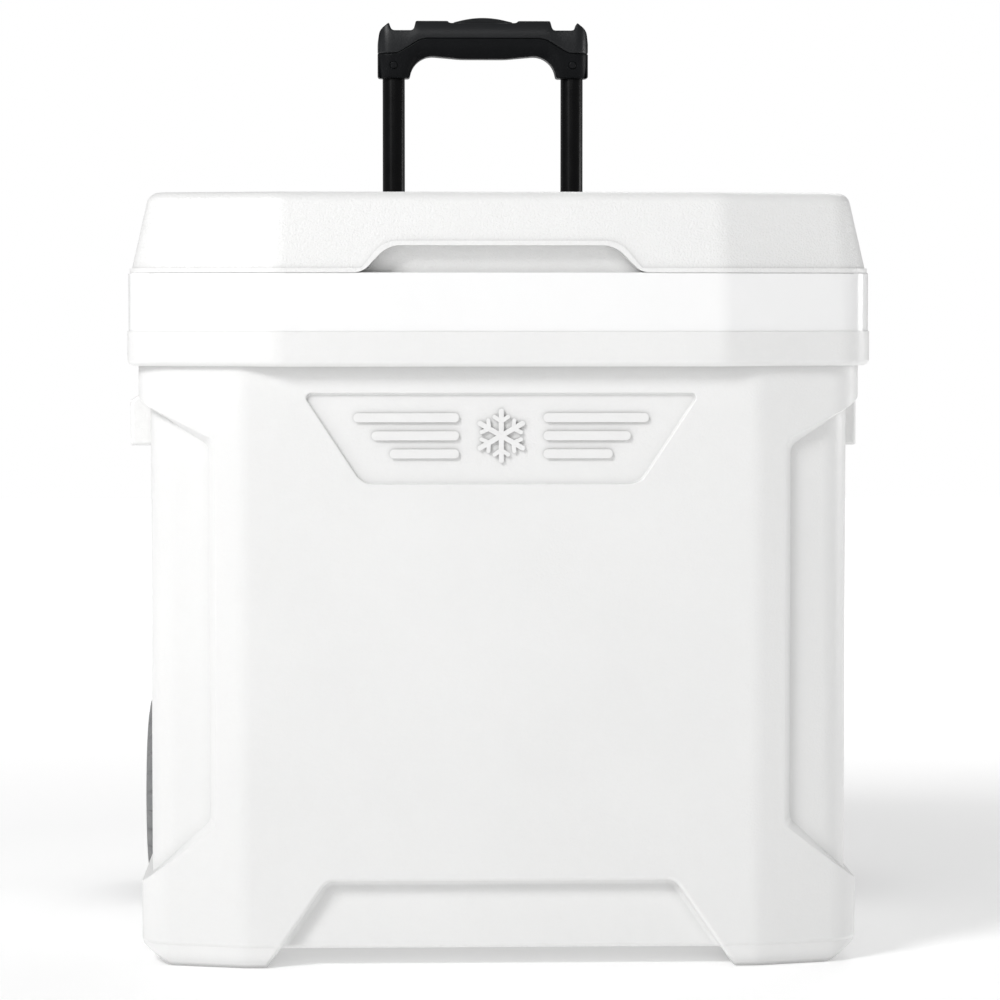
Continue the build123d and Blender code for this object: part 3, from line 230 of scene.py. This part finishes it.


# reach of the painted crease shade
CREASE_SHADE_REACH = 0.01         # how near a wall has to be to grey a spot
WHITE = (0.87, 0.87, 0.865)
LOOKS = {
    # the body shell and lid whites carry painted shade in their creases
    "shell_white": grained_plastic("shell_white", WHITE, (0.85, 0.85, 0.845), 0.36, 0.0015, 0.00006,
                                   crease_shade=0.7),
    "lid_white": grained_plastic("lid_white", (0.88, 0.88, 0.875), (0.86, 0.86, 0.855), 0.32, 0.0012, 0.00018,
                                 crease_shade=0.5),
    "liner_white": smooth_plastic("liner_white", (0.97, 0.97, 0.97), (0.955, 0.955, 0.955), 0.16),
    "foam": cellular_foam("foam", (0.82, 0.74, 0.52), (0.72, 0.62, 0.4)),
    "hinge_white": smooth_plastic("hinge_white", (0.85, 0.85, 0.84), (0.82, 0.82, 0.81), 0.35),
    "steel": brushed_metal("steel", (0.62, 0.62, 0.63), 0.3),
    "screw_steel": brushed_metal("screw_steel", (0.66, 0.67, 0.68), 0.26, (20, 20, 1)),
    "tyre_grey": rubber("tyre_grey", (0.2, 0.205, 0.21), (0.27, 0.27, 0.27), 0.62),
    "hub_grey": smooth_plastic("hub_grey", (0.33, 0.335, 0.34), (0.3, 0.305, 0.31), 0.42, fine=0.00003),
    "bush_nylon": smooth_plastic("bush_nylon", (0.72, 0.71, 0.66), (0.66, 0.65, 0.6), 0.4),
    "cap_black": smooth_plastic("cap_black", (0.022, 0.023, 0.025), (0.03, 0.031, 0.033), 0.38, fine=0.00004),
    "tube_black": smooth_plastic("tube_black", (0.0012, 0.0012, 0.0015), (0.002, 0.002, 0.0023), 0.25,
                                 waves=0.00001, Specular_IOR_Level=0.15),
    "grip_black": grained_plastic("grip_black", (0.006, 0.0068, 0.008), (0.008, 0.009, 0.0105), 0.36, 0.0009,
                                  0.00006, Specular_IOR_Level=0.3),
    "grip_dark": rubber("grip_dark", (0.0045, 0.005, 0.0058), (0.006, 0.0066, 0.0075), 0.4,
                        Specular_IOR_Level=0.09),
    "button_black": smooth_plastic("button_black", (0.006, 0.0068, 0.008), (0.008, 0.009, 0.0105), 0.3,
                                   fine=0.00003, Specular_IOR_Level=0.3),
    "rivet_black": smooth_plastic("rivet_black", (0.005, 0.0055, 0.0065), (0.008, 0.0085, 0.0095), 0.28,
                                  Specular_IOR_Level=0.15),
    "drain_white": smooth_plastic("drain_white", (0.85, 0.85, 0.84), (0.82, 0.82, 0.81), 0.32),
    "seal_rubber": rubber("seal_rubber", (0.02, 0.02, 0.021), (0.035, 0.035, 0.036), 0.6),
}


# ==========================================================================================
# making pieces
# ==========================================================================================
TURNED_STEPS = 64           # sections round a turned piece
EDGE_STEPS = 3              # steps round a rounded edge of a turned piece


def add_piece(name, mesh, node):
    """A new piece that stands for a node, and rides and is finished as that node is."""
    piece = bpy.data.objects.new(name, mesh)
    bpy.context.scene.collection.objects.link(piece)
    mesh.materials.clear()
    mesh.materials.append(LOOKS[SLOT_OF[node]])
    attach(piece, BODY_OF[node])
    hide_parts(node)
    return piece


def cleaned_mesh(node):
    """The node's mesh with its doubled corners welded and its flat areas joined."""
    mesh = NODES[node].data.copy()
    form = bmesh.new()
    form.from_mesh(mesh)
    bmesh.ops.remove_doubles(form, verts=form.verts, dist=2e-6)
    bmesh.ops.dissolve_limit(form, angle_limit=math.radians(0.3), verts=form.verts, edges=form.edges)
    form.to_mesh(mesh)
    form.free()
    return mesh


def rounded_copy(node, radius, angle=30, segments=3):
    """The node's own shape with its sharp edges rounded."""
    piece = add_piece(node + "_moulded", cleaned_mesh(node), node)
    for face in piece.data.polygons:
        face.use_smooth = True
    bevel = piece.modifiers.new("rounded edges", "BEVEL")
    bevel.width = radius
    bevel.segments = segments
    bevel.limit_method = "ANGLE"
    bevel.angle_limit = math.radians(angle)
    bevel.use_clamp_overlap = True
    bevel.harden_normals = True
    bevel.miter_outer = "MITER_ARC"
    normals = piece.modifiers.new("flat faces stay flat", "WEIGHTED_NORMAL")
    normals.keep_sharp = True
    return piece


def swept_faces(steps, count):
    """The faces between neighbouring sections of a form turned right round."""
    return [(step * count + i, ((step + 1) % steps) * count + i,
             ((step + 1) % steps) * count + (i + 1) % count, step * count + (i + 1) % count)
            for step in range(steps) for i in range(count)]


def turned(node, profile, axis="Z"):
    """A turned piece in place of a round node. profile: (radius, place along the axis) pairs, closed."""
    low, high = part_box(node)
    middle = (low + high) / 2
    along, first, second = {"X": (0, 1, 2), "Z": (2, 0, 1)}[axis]
    points = []
    for step in range(TURNED_STEPS):
        turn = math.tau * step / TURNED_STEPS
        for radius, height in profile:
            point = Vector((0, 0, 0))
            point[along] = height
            point[first] = middle[first] + radius * math.cos(turn)
            point[second] = middle[second] + radius * math.sin(turn)
            points.append(point)
    return closed_piece(node + "_turned", points, swept_faces(TURNED_STEPS, len(profile)), node)


def closed_piece(name, points, faces, node, sharp=35):
    """A piece from points and faces: doubled points welded, faces turned outwards, smooth shaded."""
    mesh = bpy.data.meshes.new(name)
    mesh.from_pydata([tuple(point) for point in points], [], faces)
    form = bmesh.new()
    form.from_mesh(mesh)
    bmesh.ops.remove_doubles(form, verts=form.verts, dist=1e-6)
    bmesh.ops.recalc_face_normals(form, faces=form.faces)
    if form.calc_volume(signed=True) < 0:
        bmesh.ops.reverse_faces(form, faces=form.faces)
    form.to_mesh(mesh)
    form.free()
    for face in mesh.polygons:
        face.use_smooth = True
    mesh.set_sharp_from_angle(angle=math.radians(sharp))
    return add_piece(name, mesh, node)


def ring_profile(inner, outer, low, high, edge):
    """A ring's section, (radius, height) pairs, with its four corners rounded by edge."""
    corners = ((outer, low, 0, -1), (outer, high, 1, 0), (inner, high, 0, 1), (inner, low, -1, 0))
    section = []
    for radius, height, start_r, start_h in corners:
        side_r = 1 if radius == outer else -1
        side_h = 1 if height == high else -1
        centre_r = radius - side_r * edge
        centre_h = height - side_h * edge
        first = math.atan2(start_h, start_r)
        for step in range(EDGE_STEPS + 1):
            turn = first + math.pi / 2 * step / EDGE_STEPS
            section.append((centre_r + edge * math.cos(turn), centre_h + edge * math.sin(turn)))
    return section


def rod_profile(outer, low, high, edge):
    """A solid rod's section; its two ends close on the axis."""
    section = [(0.0, low)]
    for height, first in ((low, -math.pi / 2), (high, 0.0)):
        side = 1 if height == high else -1
        for step in range(EDGE_STEPS + 1):
            turn = first + math.pi / 2 * step / EDGE_STEPS
            section.append((outer - edge + edge * math.cos(turn),
                            height - side * edge + edge * math.sin(turn)))
    section.append((0.0, high))
    return section


def size_of(node, axis="Z"):
    """(outer radius, low end, high end) of a round node."""
    low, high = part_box(node)
    along, first = {"X": (0, 1), "Z": (2, 0)}[axis]
    return (high[first] - low[first]) / 2, low[along], high[along]


SIDES = ("left", "right")
SCREW_EDGE = 0.15 * MM
GRIP_Y = (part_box("grip_body")[0].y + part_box("grip_body")[1].y) / 2
GRIP_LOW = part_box("grip_underside")[0].z
GRIP_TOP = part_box("grip_body")[1].z
GRIP_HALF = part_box("grip_body")[1].x


# ==========================================================================================
# body and lid
# ==========================================================================================
def make_mouldings():
    for node, radius in (("outer_shell", 0.9), ("lid_cover", 0.5), ("inner_liner", 1.2), ("lid_liner", 1.2),
                         ("insulation_core", 1.5), ("lid_foam", 1.5), ("handle_bezel", 0.5)):
        rounded_copy(node, radius * MM)


def make_hinges():
    for side in SIDES:
        rounded_copy("hinge_body_leaf_" + side, 0.5 * MM)
        rounded_copy("hinge_lid_leaf_" + side, 0.5 * MM)
        rounded_copy("hinge_pin_" + side, 0.4 * MM)
    rounded_copy("hinge_body_screws", SCREW_EDGE)
    rounded_copy("hinge_lid_screws", SCREW_EDGE)


# ==========================================================================================
# wheels
# ==========================================================================================
TREAD_BLOCKS = 31           # tread blocks round the tyre
TREAD_GROOVE = 1.9 * MM     # depth of the grooves
GROOVE_WIDTH = 2.3 * MM
MIDDLE_ROW = 0.36           # the middle row's share of the tyre's width
TYRE_SHOULDER = 8 * MM
TYRE_CROWN = 1.2 * MM
WALL_LINE = 0.7 * MM        # how proud the moulded line on the tyre's wall is


def soft_step(value, edge, width):
    """0 below edge, 1 above edge + width, smooth between."""
    share = min(max((value - edge) / width, 0), 1)
    return share * share * (3 - 2 * share)


def tread_depth(turn, across, half_width, radius):
    """How deep the tread is cut at an angle round the tyre and a place across it."""
    pitch = math.tau / TREAD_BLOCKS
    share = abs(across) / half_width
    middle_row = share < MIDDLE_ROW
    offset = 0.5 if middle_row else (0.15 if across > 0 else 0.85)
    skew = 0.12 * share if not middle_row else 0.25 * across / half_width
    phase = (turn / pitch + offset + skew) % 1
    nearest = min(phase, 1 - phase) * pitch * radius
    cross = 1 - soft_step(nearest, GROOVE_WIDTH / 2 - 0.5 * MM, 0.9 * MM)
    rail = abs(abs(across) - MIDDLE_ROW * half_width)
    ring = 1 - soft_step(rail, GROOVE_WIDTH / 2 - 0.6 * MM, 0.9 * MM)
    fade = 1 - soft_step(share, 0.93, 0.07)
    return TREAD_GROOVE * max(cross, ring) * fade


def make_tyre(side):
    """A rubber tyre with three rows of tread blocks and a moulded line on each wall."""
    node = "wheel_tyre_" + side
    radius, low, high = size_of(node, "X")
    inner = size_of("wheel_hub_" + side, "X")[0]
    centre = sum(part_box(node), Vector()) / 2
    half = (high - low) / 2
    middle = (low + high) / 2
    shoulder = TYRE_SHOULDER
    steps = TREAD_BLOCKS * 14
    section = [(inner, -half + 1 * MM), (inner + 1 * MM, -half)]
    wall = 7
    for step in range(wall):
        section.append((inner + 2 * MM + (radius - shoulder - inner - 2 * MM) * step / (wall - 1), -half))
    arc = 8
    for step in range(1, arc + 1):
        turn = math.pi / 2 * step / arc
        section.append((radius - shoulder + shoulder * math.sin(turn),
                        -half + shoulder * (1 - math.cos(turn))))
    flat = 26
    reach = half - shoulder
    for step in range(1, flat):
        section.append((radius, -reach + 2 * reach * step / flat))
    section += [(r, -x) for r, x in reversed(section[:2 + wall + arc])]
    points = []
    for step in range(steps):
        turn = math.tau * step / steps
        for r, across in section:
            crown = TYRE_CROWN * (across / half) ** 2
            cut = 0.0
            if r > radius - shoulder * 0.75:
                cut = tread_depth(turn, across, half, radius)
            line = WALL_LINE * (abs(r - radius + 14 * MM) < 2.2 * MM) * (abs(across) > half - 1e-6)
            swell = math.copysign(-line, across)
            reached = min(r, radius - crown) - cut
            points.append((middle + across + swell, centre.y + reached * math.cos(turn),
                           centre.z + reached * math.sin(turn)))
    closed_piece(node + "_treaded", points, swept_faces(steps, len(section)), node, sharp=50)


def make_wheels():
    bore = size_of("axle", "X")[0] + 0.05 * MM
    for side in SIDES:
        make_tyre(side)
        rounded_copy("wheel_hub_" + side, 0.8 * MM)
        turned("wheel_bush_" + side, ring_profile(bore, *size_of("wheel_bush_" + side, "X"), 0.4 * MM), "X")
        turned("axle_washer_" + side, ring_profile(bore, *size_of("axle_washer_" + side, "X"), 0.2 * MM), "X")
        make_axle_cap(side)
    turned("axle", rod_profile(*size_of("axle", "X"), 0.8 * MM), "X")
    turned("axle_sleeve", ring_profile(bore, *size_of("axle_sleeve", "X"), 0.4 * MM), "X")


def make_axle_cap(side):
    """A domed push-on cap with a small dimple, open towards the axle."""
    node = "axle_cap_" + side
    outer, low, high = size_of(node, "X")
    axle_radius, axle_low, axle_high = size_of("axle", "X")
    sign = 1 if side == "right" else -1
    tip, mouth = (high, low) if side == "right" else (low, high)
    seat = axle_high if side == "right" else axle_low
    dome = 3.2 * MM
    profile = [(0.0, tip - sign * 1.0 * MM), (2.2 * MM, tip - sign * 0.9 * MM), (3.4 * MM, tip)]
    for step in range(9):
        turn = math.pi / 2 * step / 8
        profile.append((outer - dome + dome * math.sin(turn), tip - sign * dome * (1 - math.cos(turn))))
    profile += [(outer, mouth + sign * 0.5 * MM), (outer - 0.5 * MM, mouth),
                (axle_radius + 0.02 * MM, mouth), (axle_radius + 0.02 * MM, seat), (0.0, seat)]
    turned(node, profile, "X")


# ==========================================================================================
# pull handle
# ==========================================================================================
def make_tubes():
    for side in SIDES:
        for node, wall, edge in (("guide_tube_", 1.5, 0.4), ("middle_tube_", 1.4, 0.4),
                                 ("inner_tube_", 1.2, 0.4), ("middle_collar_", 4.4, 0.9)):
            outer, low, high = size_of(node + side)
            turned(node + side, ring_profile(outer - wall * MM, outer, low, high, edge * MM))
        turned("push_rod_" + side, rod_profile(*size_of("push_rod_" + side), 0.4 * MM))
        rounded_copy("guide_plug_" + side, 0.4 * MM)
        rounded_copy("inner_glide_" + side, 0.3 * MM)
        rounded_copy("lock_pin_" + side, 0.2 * MM)
    rounded_copy("tube_foot_bracket", 0.8 * MM)
    rounded_copy("tube_clamp", 0.8 * MM)
    rounded_copy("bracket_screws", SCREW_EDGE)


GRIP_STRAIGHT = 48 * MM     # half the length of the straight middle, which the legs' bends follow
GRIP_BEND = 14 * MM
GRIP_ARCH = 15.5 * MM       # how far the middle's underside is above the legs' feet
GRIP_END_DROP = 3 * MM
GRIP_SIDE_R = 7 * MM
GRIP_FLAT = 8.5 * MM        # points nearer the middle plane than this stay where they are


def grip_section(place_x, height):
    """How much of the grip's depth is left at a place on it: 1 in the middle, less at its top and bottom."""
    end = soft_step(abs(place_x), GRIP_STRAIGHT, GRIP_BEND)
    low = GRIP_LOW + (1 - end) * GRIP_ARCH
    high = GRIP_TOP - end * GRIP_END_DROP
    share = abs(2 * (height - low) / (high - low) - 1)
    side = soft_step(abs(place_x), GRIP_HALF - GRIP_SIDE_R, GRIP_SIDE_R)
    return 1 - 0.36 * min(share, 1) ** 2.4 * (1 - 0.4 * end) - 0.12 * side ** 2


def moulded_grip_part(node):
    """A grip shell: the node's form, remade as an even mesh, softened and crowned front and back."""
    piece = add_piece(node + "_moulded", NODES[node].data.copy(), node)
    remesh = piece.modifiers.new("even mesh", "REMESH")
    remesh.mode = "VOXEL"
    remesh.voxel_size = 0.75 * MM
    smooth = piece.modifiers.new("soft edges", "SMOOTH")
    smooth.factor = 0.5
    smooth.iterations = 4
    graph = bpy.context.evaluated_depsgraph_get()
    mesh = bpy.data.meshes.new_from_object(piece.evaluated_get(graph))
    piece.modifiers.clear()
    for vertex in mesh.vertices:
        depth = vertex.co.y - GRIP_Y
        if abs(depth) > GRIP_FLAT:
            vertex.co.y = GRIP_Y + depth * grip_section(vertex.co.x, vertex.co.z)
    for face in mesh.polygons:
        face.use_smooth = True
    piece.data = mesh
    return piece


def make_grip():
    moulded_grip_part("grip_body")
    moulded_grip_part("grip_underside")
    rounded_copy("grip_screws", SCREW_EDGE)
    rounded_copy("release_button", 0.8 * MM)
    rounded_copy("push_yoke", 0.4 * MM)


def make_spring():
    """The button's return spring: a wound steel wire with closed ends."""
    node = "button_spring"
    outer, low, high = size_of(node)
    wire = 0.45 * MM
    coil = outer - wire
    coils, ring = 6, 8
    steps = coils * 36
    points = []
    for step in range(steps + 1):
        share = step / steps
        turn = math.tau * coils * share
        rise = low + wire + (high - low - 2 * wire) * share
        centre = Vector((coil * math.cos(turn), 0, rise))
        out = Vector((math.cos(turn), math.sin(turn), 0))
        for side in range(ring):
            angle = math.tau * side / ring
            spot = Vector((0, 0, rise)) + coil * out + wire * (math.cos(angle) * out
                                                              + math.sin(angle) * Vector((0, 0, 1)))
            points.append(spot + Vector((0, GRIP_Y, 0)))
    faces = [(step * ring + i, step * ring + (i + 1) % ring,
              (step + 1) * ring + (i + 1) % ring, (step + 1) * ring + i)
             for step in range(steps) for i in range(ring)]
    faces += [tuple(range(ring)), tuple(steps * ring + i for i in range(ring))]
    spring = closed_piece("button_spring_wound", points, faces, node, sharp=60)
    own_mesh(spring)


# ==========================================================================================
# drain
# ==========================================================================================
def make_drain():
    for node, radius in (("drain_body", 0.4), ("drain_gasket", 0.2), ("drain_nut", 0.5),
                         ("drain_seal", 0.2), ("drain_cap", 0.4)):
        rounded_copy(node, radius * MM)


make_mouldings()
make_hinges()
make_wheels()
make_tubes()
make_grip()
make_spring()
make_drain()


# ==========================================================================================
# floor, light and camera
# ==========================================================================================
FLOOR_REACH = 6.0
# each lamp: name, where it is, what it is aimed at, its size, its watts
LAMPS = (("key_upper_left", (-2.16, -2.4, 2.8), (0, 0, 0.3), 1.2, 86),
         ("side_right", (2.8, 0.6, 0.6), (0, 0, 0.2), 1.0, 13),
         ("rim_back", (0.8, 2.6, 2.4), (0, 0, 0.3), 1.8, 18))
# the same for oblong lamps that only show in reflections, with their height last
SHEEN_LAMPS = (("strip_left", (-1.35, -1.95, 0.95), (0, 0.2, 0.5), 0.5, 3.5, 1.6),
               ("strip_above", (-0.25, -2.6, 2.1), (0, 0, 0.5), 1.2, 8, 0.5))
WORLD_LIGHT = 0.37
CAMERA_AIM = (-0.0013, CAD_BOX[0][1], 0.313)
CAMERA_AZIMUTH = math.radians(-1.95)
CAMERA_RISE = math.radians(2.9)
CAMERA_DISTANCE = 2.6
CAMERA_LENS = 141.8


def make_floor():
    """A pale floor that glows a little more with distance, so that it runs into the backdrop."""
    mesh = bpy.data.meshes.new("floor")
    corners = [(x * FLOOR_REACH, y * FLOOR_REACH, 0) for x, y in ((-1, -1), (1, -1), (1, 1), (-1, 1))]
    mesh.from_pydata(corners, [], [(0, 1, 2, 3)])
    floor = bpy.data.objects.new("floor", mesh)
    bpy.context.scene.collection.objects.link(floor)
    material, shader = blank_material("floor_pale", (0.9, 0.9, 0.9), 0.8)
    link(material, mix_colours(material, noise(material, 0.4), (0.9, 0.9, 0.9), (0.88, 0.88, 0.88)),
         shader, "Base Color")
    shader.inputs["Emission Color"].default_value = (1, 1, 1, 1)
    far = add_node(material, "ShaderNodeVectorMath", {0: place(material)}, operation="LENGTH")
    glow = spread(material, far.outputs["Value"], 0.25, 0.8, 0.6, 3.2)
    link(material, glow, shader, "Emission Strength")
    mesh.materials.append(material)


def area_light(name, place_at, aim, size, power, height=None, sheen_only=False):
    """A round lamp, or an oblong one where a height is given. Sheen only shows in reflections alone."""
    data = bpy.data.lights.new(name, "AREA")
    data.shape = "RECTANGLE" if height else "DISK"
    data.size = size
    if height:
        data.size_y = height
    data.energy = power
    lamp = bpy.data.objects.new(name, data)
    lamp.visible_diffuse = not sheen_only
    lamp.location = place_at
    lamp.rotation_euler = (Vector(aim) - Vector(place_at)).to_track_quat("-Z", "Y").to_euler()
    bpy.context.scene.collection.objects.link(lamp)


def make_light():
    """A soft even world, white to the camera, and the lamps."""
    world = bpy.data.worlds.new("studio")
    world.use_nodes = True
    tree = world.node_tree
    soft = tree.nodes["Background"]
    soft.inputs["Color"].default_value = (1, 1, 1, 1)
    soft.inputs["Strength"].default_value = WORLD_LIGHT
    backdrop = tree.nodes.new("ShaderNodeBackground")
    backdrop.inputs["Color"].default_value = (1, 1, 1, 1)
    backdrop.inputs["Strength"].default_value = 1.0
    ray = tree.nodes.new("ShaderNodeLightPath")
    choice = tree.nodes.new("ShaderNodeMixShader")
    tree.links.new(ray.outputs["Is Camera Ray"], choice.inputs["Fac"])
    tree.links.new(soft.outputs["Background"], choice.inputs[1])
    tree.links.new(backdrop.outputs["Background"], choice.inputs[2])
    tree.links.new(choice.outputs["Shader"], tree.nodes["World Output"].inputs["Surface"])
    bpy.context.scene.world = world
    for lamp in LAMPS:
        area_light(*lamp)
    for lamp in SHEEN_LAMPS:
        area_light(*lamp, sheen_only=True)


def make_camera():
    data = bpy.data.cameras.new("camera")
    data.sensor_width = 36
    data.lens = CAMERA_LENS
    data.clip_end = 50
    camera = bpy.data.objects.new("camera", data)
    level = math.cos(CAMERA_RISE)
    away = Vector((math.sin(CAMERA_AZIMUTH) * level, -math.cos(CAMERA_AZIMUTH) * level,
                   math.sin(CAMERA_RISE)))
    camera.location = Vector(CAMERA_AIM) + CAMERA_DISTANCE * away
    camera.rotation_euler = (-away).to_track_quat("-Z", "Y").to_euler()
    bpy.context.scene.collection.objects.link(camera)
    bpy.context.scene.camera = camera


make_floor()
make_light()
make_camera()
bpy.context.scene.view_settings.view_transform = "Standard"
